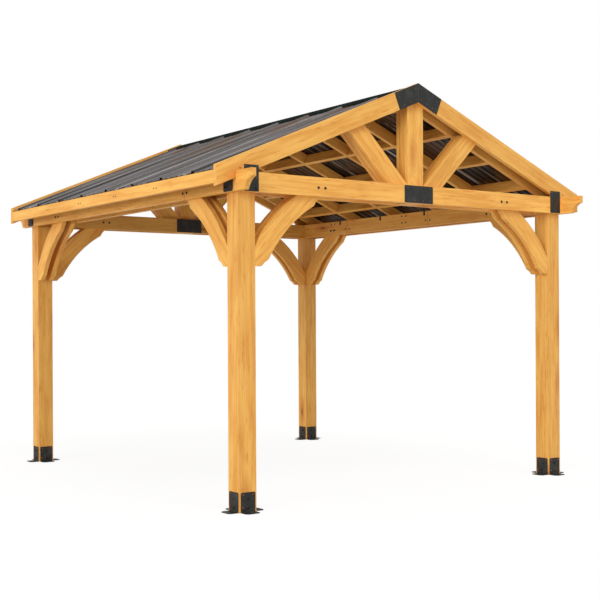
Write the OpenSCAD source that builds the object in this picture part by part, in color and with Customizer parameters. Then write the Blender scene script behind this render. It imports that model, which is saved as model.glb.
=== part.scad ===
// Timber gazebo: four posts, a ring of twin beams, two open gable trusses, curved knee
// braces and a ribbed metal roof. X runs across the gable, Y along the ridge, Z up.
// The origin is on the ground, midway between the four posts.

/* [Posts and beams] */
// Side of the square posts
post_size = 140; // [120:5:180]
// Width over the outer faces of the posts, across the gable
frame_width = 3240; // [2800:10:3800]
// Length over the outer faces of the posts, along the ridge
frame_length = 3626; // [3200:10:4200]
// Height of the underside of the beams
beam_underside = 2212; // [2000:10:2500]
// Thickness of the beam, chord, rake, rafter and brace boards
board_thickness = 38; // [30:1:50]
// Depth of the beam and chord boards
beam_depth = 138; // [120:1:190]
// Clear space between the two boards of a beam
beam_channel = 128; // [100:2:138]
// Length of the beam tail past the outer face of the post
tail_length = 230; // [120:5:300]
// Height of the plumb end of a beam tail
tail_plumb = 55; // [30:5:90]
// Length of the carved cut under a beam tail
tail_cut = 88; // [40:2:120]
// Depth of the hollow of the carved cut, from its straight chord
tail_hollow = 16; // [8:1:24]

/* [Roof] */
// Slope of the roof in degrees
roof_slope = 22.5; // [20:0.5:26]
// Overhang of the roof past the outer face of the side beams
eave_overhang = 157; // [100:1:250]
// Level length of the notch where a rake rests on the side beam
rake_seat = 117; // [90:1:140]
// Depth of the rake boards, square to the slope
rake_depth = 136; // [110:1:150]
// Height of the rakes above the tops of the rafters, measured plumb
rake_rise = 35; // [32:1:40]
// Depth of the rafters and the blocking, square to the slope
rafter_depth = 89; // [70:1:100]
// Number of rafters between the two trusses
rafter_count = 4; // [3:1:6]
// Distance between the truss and the first rafter, middle to middle
end_bay = 685; // [500:5:750]
// Distance from the ridge to the first row of blocking, measured level
blocking_start = 536; // [400:4:600]
// Distance between two rows of blocking, measured level
blocking_step = 442; // [350:2:450]
// Depth of the ridge board
ridge_board_depth = 140; // [110:5:180]
// Depth of the eave boards
fascia_depth = 89; // [60:1:100]

/* [Metal roofing] */
// Number of high ribs on one roof sheet
rib_count = 16; // [10:1:20]
// Height of a high rib
rib_height = 19; // [12:1:20]
// Width of a high rib at its foot
rib_foot = 62; // [40:2:80]
// Width of a high rib at its top
rib_top = 22; // [14:2:30]
// Height of the small ribs between the high ones
bead_height = 4; // [2:0.5:6]
// Thickness of the sheet as modelled
sheet_thickness = 2; // [1:0.5:3]
// Width of one leg of the ridge cap
cap_leg = 150; // [100:5:200]

/* [Truss] */
// Width of the king post
king_width = 160; // [120:5:180]
// Width of the sloping truss braces
web_width = 140; // [110:5:150]
// Level distance from the king post's middle line to where a truss brace leaves the chord
web_foot = 145; // [100:5:200]

/* [Knee braces] */
// Reach of a knee brace along the beam, from the post
brace_reach = 554; // [480:2:620]
// Drop of a knee brace below the beam
brace_drop = 509; // [440:1:560]
// Radius of the hollow lower edge
brace_radius = 1016; // [900:2:1200]
// Width of the curved board
brace_width = 140; // [110:5:150]
// Width of the flat end of a foot
brace_foot = 54; // [30:1:70]
// Level length of the steep cut beside the flat end
brace_toe = 26; // [15:1:40]
// Rise of the steep cut
brace_toe_rise = 27; // [15:1:40]
// Level length of the gentle cut between the steep one and the hollow edge
brace_step = 32; // [20:1:50]
// Rise of the gentle cut
brace_step_rise = 19; // [10:1:30]
// Height of the tongue that runs up between the beam boards
brace_tongue = 75; // [40:5:120]

/* [Steel] */
// Thickness of the face plates and brackets
plate_thickness = 3; // [2:0.5:5]
// Width of a post bracket
bracket_width = 118; // [90:2:130]
// Height of a post bracket
bracket_height = 140; // [100:5:180]
// Reach of the bracket's foot past the post
bracket_reach = 78; // [60:2:100]
// Distance of the anchor hole from the post
anchor_offset = 45; // [35:1:55]
// Diameter of the anchor hole
anchor_hole = 14; // [10:1:18]
// Half of the width of the plate over the middle of the chord
chord_plate_half = 143; // [100:1:160]
// Length of one arm of the peak plate, measured level
peak_plate_arm = 238; // [180:2:280]
// Width of the plate over each end of the chord
corner_plate_width = 118; // [90:2:140]
// Distance from the post's outer face to the corner plate
corner_plate_inset = 28; // [0:1:40]
// Height of the corner plate above the chord
corner_plate_rise = 48; // [20:1:70]
// Width of the plate over each end of the side beam
side_plate_width = 120; // [90:2:126]
// Distance from the post's outer face to this plate
side_plate_inset = 3; // [0:1:10]
// Radius of the lower corners of this plate
side_plate_corner = 14; // [4:1:30]
// Width of a rafter tie
tie_width = 22; // [16:1:30]
// Length of a rafter tie
tie_length = 115; // [100:5:130]

/* [Hidden] */
$fn = 96;
half_w = frame_width / 2;
half_l = frame_length / 2;
beam_top = beam_underside + beam_depth;
tenon_top = beam_top - 2;
outer_w = half_w + board_thickness;
outer_l = half_l + board_thickness;
inner_w = half_w - beam_channel;
inner_l = half_l - beam_channel;
slope = tan(roof_slope);
rake_plumb = rake_depth / cos(roof_slope);
rafter_plumb = rafter_depth / cos(roof_slope);
roof_half_width = outer_w + eave_overhang;
ridge_height = beam_top + slope * (outer_w - rake_seat) + rake_plumb;
rafter_ridge = ridge_height - rake_rise;
fascia_x = roof_half_width - board_thickness;
tail_end = half_l + tail_length;
plate_margin = 3;
TRUSS_RAFTER = inner_l - board_thickness / 2;
rafter_spacing = 2 * (TRUSS_RAFTER - end_bay) / (rafter_count - 1);
RAFTERS = [for (i = [0:rafter_count - 1]) end_bay - TRUSS_RAFTER + i * rafter_spacing];
RAFTER_LINE = concat([-TRUSS_RAFTER], RAFTERS, [TRUSS_RAFTER]);

wood_post = "#dba055";
wood_board = "#e3aa5e";
wood_shade = "#c98f4b";
steel = "#2f302f";
sheet_metal = "#55575a";

// Placing helpers
// Right and back are the plus sides, left and front their mirror images.
module on_left() {
    mirror([1, 0, 0]) children();
}

module on_front() {
    mirror([0, 1, 0]) children();
}

// Stands an outline drawn in X and Z up as a board from y to y + thick.
module gable_board(y, thick) {
    translate([0, y + thick, 0]) rotate([90, 0, 0]) linear_extrude(thick) children();
}

// Stands an outline drawn in Y and Z up as a board from x to x + thick.
module side_board(x, thick) {
    translate([x, 0, 0]) rotate([90, 0, 90]) linear_extrude(thick) children();
}

// Height of the roof's lines at a level distance x from the ridge
function rake_line(x) = ridge_height - slope * x;
function rafter_line(x) = rafter_ridge - slope * x;

// Posts: the upper end is a tenon, held between the beam boards
module post() {
    color(wood_post) {
        translate([half_w - post_size, half_l - post_size, 0])
            cube([post_size, post_size, beam_underside]);
        translate([inner_w, inner_l, beam_underside - 1])
            cube([beam_channel, beam_channel, tenon_top - beam_underside + 1]);
    }
}

// One angle bracket, drawn against a face in the plane y = 0 that looks towards +Y
module angle_bracket() {
    corner = 12;
    clip = 18;
    half = bracket_width / 2;
    rotate([90, 0, 0]) translate([0, 0, -plate_thickness]) linear_extrude(plate_thickness)
        union() {
            translate([-half, 0]) square([bracket_width, bracket_height - corner]);
            translate([corner - half, 0]) square([bracket_width - 2 * corner, bracket_height]);
            for (side = [-1, 1])
                translate([side * (half - corner), bracket_height - corner]) circle(corner);
        }
    difference() {
        linear_extrude(plate_thickness + 1) polygon([
            [-half, 0], [half, 0], [half, bracket_reach - clip], [half - clip, bracket_reach],
            [clip - half, bracket_reach], [-half, bracket_reach - clip]
        ]);
        translate([0, anchor_offset, -1]) cylinder(d = anchor_hole, h = plate_thickness + 3);
    }
}

// Four brackets round the foot of one post
module post_brackets() {
    color(steel)
        translate([half_w - post_size / 2, half_l - post_size / 2, 0])
            for (turn = [0:90:270])
                rotate([0, 0, turn]) translate([0, post_size / 2, 0]) angle_bracket();
}

// Side beams: the outer board runs past both gables and ends in carved tails
module tail_hollows() {
    rise = beam_depth - tail_plumb;
    chord = sqrt(tail_cut * tail_cut + rise * rise);
    radius = chord * chord / (8 * tail_hollow) + tail_hollow / 2;
    reach = radius - tail_hollow;
    for (side = [-1, 1])
        translate([
            side * (tail_end - tail_cut / 2 + reach * rise / chord),
            beam_underside + rise / 2 - reach * tail_cut / chord
        ]) circle(radius, $fn = 180);
}

module side_beam_outer() {
    color(wood_board) side_board(half_w, board_thickness)
        difference() {
            polygon([
                [-tail_end, beam_top], [-tail_end, beam_top - tail_plumb],
                [tail_cut - tail_end, beam_underside], [tail_end - tail_cut, beam_underside],
                [tail_end, beam_top - tail_plumb], [tail_end, beam_top]
            ]);
            tail_hollows();
        }
}

module side_beam_inner() {
    color(wood_board)
        translate([inner_w - board_thickness, -half_l, beam_underside])
            cube([board_thickness, frame_length, beam_depth]);
}

// Chords: the gable beams, set between the side beams
module chord_outer() {
    color(wood_board)
        translate([-half_w, half_l, beam_underside])
            cube([frame_width, board_thickness, beam_depth]);
}

module chord_inner() {
    reach = inner_w - board_thickness;
    color(wood_board)
        translate([-reach, inner_l - board_thickness, beam_underside])
            cube([2 * reach, board_thickness, beam_depth]);
}

// Truss: the king post and two braces at 45 degrees fill the channel of the chord
module king_post() {
    top_gap = 2;
    half = king_width / 2;
    color(wood_post) gable_board(inner_l, beam_channel)
        polygon([
            [-half, beam_underside], [half, beam_underside],
            [half, rafter_line(half) - top_gap], [0, rafter_line(0) - top_gap],
            [-half, rafter_line(half) - top_gap]
        ]);
}

module truss_brace() {
    foot_rise = 10;
    tuck = 25;
    half = king_width / 2;
    foot = beam_underside + foot_rise;
    lower = foot - web_foot;
    upper = lower + web_width * sqrt(2);
    head = ridge_height - rake_plumb + tuck;
    low_x = (head - lower) / (1 + slope);
    high_x = (head - upper) / (1 + slope);
    gable_board(inner_l, beam_channel)
        polygon([
            [half, foot], [web_foot, foot], [low_x, low_x + lower],
            [high_x, high_x + upper], [half, half + upper]
        ]);
}

module truss_braces() {
    color(wood_board) {
        truss_brace();
        on_left() truss_brace();
    }
}

// Rakes: the gable rafters, notched over the side beams
module rake() {
    seat_x = outer_w - rake_seat;
    color(wood_board) gable_board(half_l, board_thickness)
        polygon([
            [0, rake_line(0)], [roof_half_width, rake_line(roof_half_width)],
            [roof_half_width, rake_line(roof_half_width) - rake_plumb],
            [outer_w, rake_line(outer_w) - rake_plumb], [outer_w, beam_top],
            [seat_x, beam_top], [0, rake_line(0) - rake_plumb]
        ]);
}

// Rafters: six on each slope, from the ridge board to the eave board
module rafter(y) {
    seat_x = (rafter_ridge - rafter_plumb - beam_top) / slope;
    start = board_thickness / 2;
    gable_board(y - board_thickness / 2, board_thickness)
        polygon([
            [start, rafter_line(start)], [fascia_x, rafter_line(fascia_x)],
            [fascia_x, rafter_line(fascia_x) - rafter_plumb],
            [outer_w, rafter_line(outer_w) - rafter_plumb], [outer_w, beam_top],
            [seat_x, beam_top], [start, rafter_line(start) - rafter_plumb]
        ]);
}

module rafters() {
    color(wood_shade)
        for (y = RAFTER_LINE) rafter(y);
}

module ridge_board() {
    half = board_thickness / 2;
    color(wood_shade)
        translate([-half, -inner_l, rafter_line(half) - ridge_board_depth])
            cube([board_thickness, 2 * inner_l, ridge_board_depth]);
}

// Blocking: three rows of short boards between the rafters
module blocking() {
    color(wood_shade)
        for (row = [0:2], bay = [0:len(RAFTER_LINE) - 2]) {
            x = blocking_start + row * blocking_step;
            from = RAFTER_LINE[bay] + board_thickness / 2;
            to = RAFTER_LINE[bay + 1] - board_thickness / 2;
            gable_board(from, to - from)
                translate([x, rafter_line(x)]) rotate(-roof_slope)
                    translate([-board_thickness / 2, -rafter_depth])
                        square([board_thickness, rafter_depth]);
        }
}

module fascia() {
    top = rafter_line(roof_half_width) - 1;
    color(wood_board)
        translate([fascia_x, -half_l, top - fascia_depth])
            cube([board_thickness, frame_length, fascia_depth]);
}

// Metal roofing: one ribbed sheet a slope, drawn as the section and run down the slope
sheet_half = half_l - 2;
rib_pitch = 2 * (sheet_half - 8) / rib_count;
function rib_start(i) = 8 - sheet_half + (i + 0.5) * rib_pitch;
function rib_points(i, lift) = [
    [rib_start(i) - rib_foot / 2, lift], [rib_start(i) - rib_top / 2, lift + rib_height],
    [rib_start(i) + rib_top / 2, lift + rib_height], [rib_start(i) + rib_foot / 2, lift],
    [rib_start(i) + rib_pitch * 0.36, lift], [rib_start(i) + rib_pitch * 0.38, lift + bead_height],
    [rib_start(i) + rib_pitch * 0.42, lift + bead_height], [rib_start(i) + rib_pitch * 0.44, lift],
    [rib_start(i) + rib_pitch * 0.56, lift], [rib_start(i) + rib_pitch * 0.58, lift + bead_height],
    [rib_start(i) + rib_pitch * 0.62, lift + bead_height], [rib_start(i) + rib_pitch * 0.64, lift]
];
function sheet_line(lift) = concat(
    [[-sheet_half, lift]],
    [for (i = [0:rib_count - 1], p = rib_points(i, lift)) if (p[0] < sheet_half) p],
    [[sheet_half, lift]]
);
function backwards(list) = [for (i = [len(list) - 1:-1:0]) list[i]];

module roof_sheet() {
    top_gap = 12;
    eave_gap = 3;
    run = (roof_half_width - eave_gap) / cos(roof_slope) - top_gap;
    color(sheet_metal)
        translate([0, 0, rafter_ridge]) rotate([0, roof_slope, 0]) translate([top_gap, 0, 0])
            rotate([90, 0, 90]) linear_extrude(run)
                polygon(concat(sheet_line(0), backwards(sheet_line(sheet_thickness))));
}

module ridge_cap() {
    rest = (sheet_thickness + rib_height) / cos(roof_slope);
    thick = sheet_thickness / cos(roof_slope);
    under = rafter_ridge + rest;
    lip = 10;
    color(sheet_metal) gable_board(-sheet_half, 2 * sheet_half)
        polygon([
            [0, under], [cap_leg, under - slope * cap_leg],
            [cap_leg, under - slope * cap_leg - lip],
            [cap_leg + sheet_thickness, under - slope * (cap_leg + sheet_thickness) - lip],
            [cap_leg + sheet_thickness, under + thick - slope * (cap_leg + sheet_thickness)],
            [0, under + thick],
            [-cap_leg - sheet_thickness, under + thick - slope * (cap_leg + sheet_thickness)],
            [-cap_leg - sheet_thickness, under - slope * (cap_leg + sheet_thickness) - lip],
            [-cap_leg, under - slope * cap_leg - lip], [-cap_leg, under - slope * cap_leg]
        ]);
}

// Knee braces: the outline runs from the post face (u = 0) along the beam, and from the
// beam's underside (v = 0) down. Both ends have the same shaped foot, mirrored in the line
// u + v = brace_lean. The hollow edge is one arc that ends at the corners of both feet.
brace_lean = brace_reach - brace_drop;
toe_u = brace_foot + brace_toe;
toe_v = brace_toe_rise - brace_drop;
step_u = toe_u + brace_step;
step_v = toe_v + brace_step_rise;
brace_sum = step_u - step_v;
brace_cross = (step_u + step_v - brace_lean) / 2;
brace_arm = (brace_sum + sqrt(2 * brace_radius * brace_radius - 4 * brace_cross * brace_cross)) / 2;
brace_centre = [brace_lean / 2 + brace_arm, brace_lean / 2 - brace_arm];

module brace_outline() {
    intersection() {
        difference() {
            polygon([
                [0, -brace_drop], [brace_foot, -brace_drop], [toe_u, toe_v], [step_u, step_v],
                [brace_lean - step_v, brace_lean - step_u],
                [brace_lean - toe_v, brace_lean - toe_u],
                [brace_reach, brace_lean - brace_foot],
                [brace_reach, brace_tongue], [0, brace_tongue]
            ]);
            translate(brace_centre) circle(brace_radius, $fn = 720);
        }
        translate(brace_centre) circle(brace_radius + brace_width, $fn = 720);
    }
}

// The pair of boards that runs along the gable beam
module gable_knee_pair() {
    for (y = [half_l - board_thickness, inner_l])
        gable_board(y, board_thickness)
            translate([half_w - post_size, beam_underside]) mirror([1, 0]) brace_outline();
}

// The pair of boards that runs along the side beam
module side_knee_pair() {
    for (x = [half_w - board_thickness, inner_w])
        side_board(x, board_thickness)
            translate([half_l - post_size, beam_underside]) mirror([1, 0]) brace_outline();
}

module knee_braces() {
    color(wood_board) {
        gable_knee_pair();
        side_knee_pair();
    }
}

// Steel plates on the gable: peak, middle of the chord inside and out, both corners
module gable_plates() {
    arm_drop = rake_depth * sin(roof_slope);
    arm_fall = rake_depth * cos(roof_slope);
    plate_low = beam_underside + plate_margin;
    plate_tall = beam_depth - 2 * plate_margin;
    color(steel) {
        gable_board(outer_l, plate_thickness)
            polygon([
                [0, rake_line(0)], [peak_plate_arm, rake_line(peak_plate_arm)],
                [peak_plate_arm - arm_drop, rake_line(peak_plate_arm) - arm_fall],
                [0, rake_line(0) - rake_plumb],
                [arm_drop - peak_plate_arm, rake_line(peak_plate_arm) - arm_fall],
                [-peak_plate_arm, rake_line(peak_plate_arm)]
            ]);
        for (y = [outer_l, inner_l - board_thickness - plate_thickness])
            translate([-chord_plate_half, y, plate_low])
                cube([2 * chord_plate_half, plate_thickness, plate_tall]);
        for (side = [0, 1])
            mirror([side, 0, 0])
                translate([half_w - corner_plate_inset - corner_plate_width, outer_l, plate_low])
                    cube([
                        corner_plate_width, plate_thickness,
                        beam_depth + corner_plate_rise - plate_margin
                    ]);
    }
}

// Steel plates on the outside of the side beam, one over each post, with round lower corners
module side_plates() {
    low = beam_underside + plate_margin;
    high = beam_top - plate_margin;
    color(steel)
        for (side = [0, 1])
            mirror([0, side, 0]) side_board(outer_w, plate_thickness)
                translate([half_l - side_plate_inset - side_plate_width, low]) union() {
                    translate([0, side_plate_corner])
                        square([side_plate_width, high - low - side_plate_corner]);
                    translate([side_plate_corner, 0]) square([
                        side_plate_width - 2 * side_plate_corner, side_plate_corner + 1
                    ]);
                    for (y = [side_plate_corner, side_plate_width - side_plate_corner])
                        translate([y, side_plate_corner]) circle(side_plate_corner);
                }
}

// Rafter ties: flat straps from the inner beam board up to the side of each rafter
module rafter_ties() {
    x = inner_w - board_thickness;
    low = beam_top - 40;
    tab_reach = 44;
    tab_low = rafter_line(x) - rafter_plumb + 4;
    color(steel)
        for (y = RAFTERS) {
            face = y + board_thickness / 2;
            translate([x - plate_thickness, face, low])
                cube([plate_thickness, tie_width, tie_length]);
            translate([x - plate_thickness, face, tab_low])
                cube([tab_reach, plate_thickness, low + tie_length - tab_low]);
        }
}

on_left() on_front() post();  // post_front_left
on_front() post();  // post_front_right
on_left() post();  // post_back_left
post();  // post_back_right
on_left() on_front() post_brackets();  // brackets_front_left
on_front() post_brackets();  // brackets_front_right
on_left() post_brackets();  // brackets_back_left
post_brackets();  // brackets_back_right
on_left() side_beam_outer();  // side_beam_outer_left
side_beam_outer();  // side_beam_outer_right
on_left() side_beam_inner();  // side_beam_inner_left
side_beam_inner();  // side_beam_inner_right
on_front() chord_outer();  // chord_outer_front
chord_outer();  // chord_outer_back
on_front() chord_inner();  // chord_inner_front
chord_inner();  // chord_inner_back
on_front() king_post();  // king_post_front
king_post();  // king_post_back
on_front() truss_braces();  // truss_braces_front
truss_braces();  // truss_braces_back
on_left() on_front() rake();  // rake_front_left
on_front() rake();  // rake_front_right
on_left() rake();  // rake_back_left
rake();  // rake_back_right
on_left() rafters();  // rafters_left
rafters();  // rafters_right
ridge_board();
on_left() blocking();  // blocking_left
blocking();  // blocking_right
on_left() fascia();  // fascia_left
fascia();  // fascia_right
on_left() roof_sheet();  // roof_sheet_left
roof_sheet();  // roof_sheet_right
ridge_cap();
on_left() on_front() knee_braces();  // knee_braces_front_left
on_front() knee_braces();  // knee_braces_front_right
on_left() knee_braces();  // knee_braces_back_left
knee_braces();  // knee_braces_back_right
on_front() gable_plates();  // gable_plates_front
gable_plates();  // gable_plates_back
on_left() side_plates();  // side_plates_left
side_plates();  // side_plates_right
on_left() rafter_ties();  // rafter_ties_left
rafter_ties();  // rafter_ties_right
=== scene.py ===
# %% [markdown]
# # A timber gazebo, dressed in cells
# The CAD frame already holds every board, plate and roof sheet at its real size. This lesson
# gives each one its finish, adds the bolts and screws that the frame leaves out, and sets up
# a plain studio. Nothing here moves or reshapes a frame piece.

# %% Load the frame and keep its box
import math

import bpy
from mathutils import Euler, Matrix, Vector


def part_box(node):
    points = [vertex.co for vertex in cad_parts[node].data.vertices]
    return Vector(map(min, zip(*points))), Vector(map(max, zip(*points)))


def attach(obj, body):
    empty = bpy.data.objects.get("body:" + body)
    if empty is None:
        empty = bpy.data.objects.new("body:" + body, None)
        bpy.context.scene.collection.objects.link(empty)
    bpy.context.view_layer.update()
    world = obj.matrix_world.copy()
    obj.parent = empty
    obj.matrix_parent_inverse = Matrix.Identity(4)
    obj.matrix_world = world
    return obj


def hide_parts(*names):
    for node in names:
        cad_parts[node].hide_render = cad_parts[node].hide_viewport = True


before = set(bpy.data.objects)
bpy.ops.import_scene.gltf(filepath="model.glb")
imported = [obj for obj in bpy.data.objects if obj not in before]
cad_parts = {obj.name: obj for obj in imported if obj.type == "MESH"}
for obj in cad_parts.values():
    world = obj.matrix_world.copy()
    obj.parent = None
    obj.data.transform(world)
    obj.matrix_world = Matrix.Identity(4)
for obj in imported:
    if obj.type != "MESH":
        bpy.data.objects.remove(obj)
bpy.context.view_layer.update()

# %% [markdown]
# ## Camera
# The photographer stood off the front left corner at about eye height. A level camera keeps
# the posts upright, and a small lens shift puts the gazebo where the picture has it, as a
# view camera does. The numbers come from fitting the posts, beams and rakes.

# %% Camera at the photograph's angle
PICTURE = 600
focal_px, centre_x, centre_y = 1126.5, 292.3, 317.1
camera_yaw, camera_roll = 35.29, -0.3
camera_place = Vector((-5.7861, -8.3389, 1.3467))

lens = bpy.data.cameras.new("picture_camera")
lens.sensor_width = 36.0
lens.lens = focal_px / PICTURE * lens.sensor_width
lens.shift_x = (PICTURE / 2 - centre_x) / PICTURE
lens.shift_y = (centre_y - PICTURE / 2) / PICTURE
camera = bpy.data.objects.new("picture_camera", lens)
bpy.context.scene.collection.objects.link(camera)
camera.location = camera_place
level = Euler((math.radians(90), 0, math.radians(-camera_yaw))).to_matrix()
roll = Euler((0, 0, math.radians(camera_roll))).to_matrix()
camera.rotation_euler = (level @ roll).to_euler()
bpy.context.scene.camera = camera
print("camera lens", round(lens.lens, 2), "mm, shift", round(lens.shift_x, 4), round(lens.shift_y, 4))

# %% [markdown]
# ## Small helpers for node trees
# A finish is a graph of nodes. Writing out every link by hand hides the idea, so three short
# helpers add a node, do one sum, and open a reusable group with named sockets.

# %% Node helpers
def add(tree, kind, inputs=None, **settings):
    """Adds a node, sets its options, and fills its inputs with values or links."""
    made = tree.nodes.new(kind)
    for name, value in settings.items():
        setattr(made, name, value)
    for key, value in (inputs or {}).items():
        if isinstance(value, bpy.types.NodeSocket):
            tree.links.new(value, made.inputs[key])
        else:
            made.inputs[key].default_value = value
    return made


def sum_of(tree, operation, *terms, clamp=False):
    """One math node on up to three terms; returns its result."""
    made = tree.nodes.new("ShaderNodeMath")
    made.operation = operation
    made.use_clamp = clamp
    for number, term in enumerate(terms):
        if isinstance(term, bpy.types.NodeSocket):
            tree.links.new(term, made.inputs[number])
        else:
            made.inputs[number].default_value = term
    return made.outputs[0]


def blend_colour(tree, amount, first, second, way="MIX"):
    """Mixes two colours; the mix node keeps its colour sockets at 6 and 7."""
    made = add(tree, "ShaderNodeMix", data_type="RGBA", blend_type=way)
    for index, value in ((0, amount), (6, first), (7, second)):
        if isinstance(value, bpy.types.NodeSocket):
            tree.links.new(value, made.inputs[index])
        else:
            made.inputs[index].default_value = value
    return made.outputs[2]


def between(tree, value, low, high, start=0.0, end=1.0):
    """Smoothly maps value from low..high to start..end."""
    made = add(tree, "ShaderNodeMapRange", {0: value, 1: low, 2: high, 3: start, 4: end},
               interpolation_type="SMOOTHSTEP")
    return made.outputs[0]


def new_group(name, inputs, outputs, kind="ShaderNodeTree"):
    """Opens a node group; inputs are (name, socket kind, default)."""
    tree = bpy.data.node_groups.new(name, kind)
    for label, socket, default in inputs:
        made = tree.interface.new_socket(label, in_out="INPUT", socket_type=socket)
        if default is not None:
            made.default_value = default
    for label, socket in outputs:
        tree.interface.new_socket(label, in_out="OUTPUT", socket_type=socket)
    return tree, tree.nodes.new("NodeGroupInput"), tree.nodes.new("NodeGroupOutput")


def paint(red, green, blue):
    """A colour as a paint chart gives it, 0 to 255, turned into linear light."""
    def linear(value):
        value /= 255
        return value / 12.92 if value <= 0.04045 else ((value + 0.055) / 1.055) ** 2.4
    return (linear(red), linear(green), linear(blue), 1.0)


print("helpers ready")

# %% [markdown]
# ## Timber grain
# A board is cut from a tree whose yearly rings wrap round the pith. A face shows them as
# long, slightly wandering streaks, with arches where the cut runs off the rings. So the
# group measures each point's distance from a wandering pith line that runs along the board,
# and adds fine fibres, soft blotches and a few knots that push the rings aside.

# %% Grain group
def make_grain():
    tree, start, end = new_group(
        "Timber grain",
        [("Board Space", "NodeSocketVector", None), ("Seed", "NodeSocketFloat", 0.0),
         ("Light Wood", "NodeSocketColor", paint(240, 184, 100)),
         ("Dark Wood", "NodeSocketColor", paint(214, 142, 62)),
         ("Ring Width", "NodeSocketFloat", 0.010), ("Knots", "NodeSocketFloat", 0.5),
         ("Tone", "NodeSocketFloat", 1.0)],
        [("Color", "NodeSocketColor"), ("Height", "NodeSocketFloat"),
         ("Roughness", "NodeSocketFloat")])
    space = start.outputs["Board Space"]
    chance = add(tree, "ShaderNodeTexWhiteNoise", {"W": start.outputs["Seed"]},
                 noise_dimensions="1D")
    far = add(tree, "ShaderNodeVectorMath", {0: chance.outputs["Color"], 1: (9.0, 7.0, 23.0)},
              operation="MULTIPLY")
    moved = add(tree, "ShaderNodeVectorMath", {0: space, 1: far.outputs[0]}, operation="ADD")
    place = moved.outputs[0]

    # Knots: sparse cells, stretched along the board
    cells = add(tree, "ShaderNodeVectorMath", {0: place, 1: (5.5, 5.5, 1.5)},
                operation="MULTIPLY")
    knot_cells = add(tree, "ShaderNodeTexVoronoi", {"Vector": cells.outputs[0], "Scale": 1.0})
    lucky = add(tree, "ShaderNodeSeparateColor", {0: knot_cells.outputs["Color"]})
    threshold = sum_of(tree, "SUBTRACT", 1.0, start.outputs["Knots"])
    chosen = sum_of(tree, "GREATER_THAN", lucky.outputs[0], threshold)
    near = between(tree, knot_cells.outputs["Distance"], 0.05, 0.34, 1.0, 0.0)
    heart = between(tree, knot_cells.outputs["Distance"], 0.03, 0.10, 1.0, 0.0)
    knot_pull = sum_of(tree, "MULTIPLY", near, chosen)
    knot_heart = sum_of(tree, "MULTIPLY", heart, chosen)

    # Rings round a pith that wanders slowly along the board
    slow = add(tree, "ShaderNodeVectorMath", {0: place, 1: (1.6, 1.6, 0.55)},
               operation="MULTIPLY")
    wander = add(tree, "ShaderNodeTexNoise",
                 {"Vector": slow.outputs[0], "Scale": 1.0, "Detail": 2.0})
    centred = add(tree, "ShaderNodeVectorMath",
                  {0: wander.outputs["Color"], 1: (0.5, 0.5, 0.5)}, operation="SUBTRACT")
    bent = add(tree, "ShaderNodeVectorMath",
               {0: centred.outputs[0], 1: (0.26, 0.26, 0.0), 2: space},
               operation="MULTIPLY_ADD")
    quick = add(tree, "ShaderNodeVectorMath", {0: place, 1: (9.0, 9.0, 2.6)},
                operation="MULTIPLY")
    wobble = add(tree, "ShaderNodeTexNoise",
                 {"Vector": quick.outputs[0], "Scale": 1.0, "Detail": 2.0})
    offset = add(tree, "ShaderNodeVectorMath",
                 {0: chance.outputs["Color"], 1: (0.22, 0.22, 0.0), 2: (0.03, 0.05, 0.0)},
                 operation="MULTIPLY_ADD")
    from_pith = add(tree, "ShaderNodeVectorMath", {0: bent.outputs[0], 1: offset.outputs[0]},
                    operation="ADD")
    flat = add(tree, "ShaderNodeVectorMath",
               {0: from_pith.outputs[0], 1: (1.0, 1.0, 0.0)}, operation="MULTIPLY")
    radius = add(tree, "ShaderNodeVectorMath", {0: flat.outputs[0]}, operation="LENGTH")
    wobbled = sum_of(tree, "MULTIPLY_ADD", wobble.outputs["Fac"], 0.04,
                     radius.outputs["Value"])
    pushed = sum_of(tree, "MULTIPLY_ADD", knot_pull, 0.03, wobbled)
    count = sum_of(tree, "DIVIDE", pushed, start.outputs["Ring Width"])
    part = sum_of(tree, "FRACT", count)
    rise = between(tree, part, 0.25, 0.92)
    fall = between(tree, part, 0.92, 1.0, 1.0, 0.0)
    late = sum_of(tree, "MULTIPLY", rise, fall)

    # Fibres and blotches
    thin = add(tree, "ShaderNodeVectorMath", {0: place, 1: (150.0, 150.0, 3.2)},
               operation="MULTIPLY")
    fibre = add(tree, "ShaderNodeTexNoise",
                {"Vector": thin.outputs[0], "Scale": 1.0, "Detail": 3.0})
    wide = add(tree, "ShaderNodeVectorMath", {0: place, 1: (34.0, 34.0, 2.0)},
               operation="MULTIPLY")
    streak = add(tree, "ShaderNodeTexNoise",
                 {"Vector": wide.outputs[0], "Scale": 1.0, "Detail": 3.0, "Roughness": 0.6})
    streaky = between(tree, streak.outputs["Fac"], 0.36, 0.68)
    cloud = add(tree, "ShaderNodeTexNoise",
                {"Vector": slow.outputs[0], "Scale": 4.5, "Detail": 3.0})
    short = add(tree, "ShaderNodeVectorMath", {0: place, 1: (80.0, 80.0, 8.0)},
                operation="MULTIPLY")
    dash = add(tree, "ShaderNodeTexNoise",
               {"Vector": short.outputs[0], "Scale": 1.0, "Detail": 2.0})
    dashes = between(tree, dash.outputs["Fac"], 0.58, 0.74, 0.0, 0.6)
    cloudy = between(tree, cloud.outputs["Fac"], 0.4, 0.66)

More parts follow.
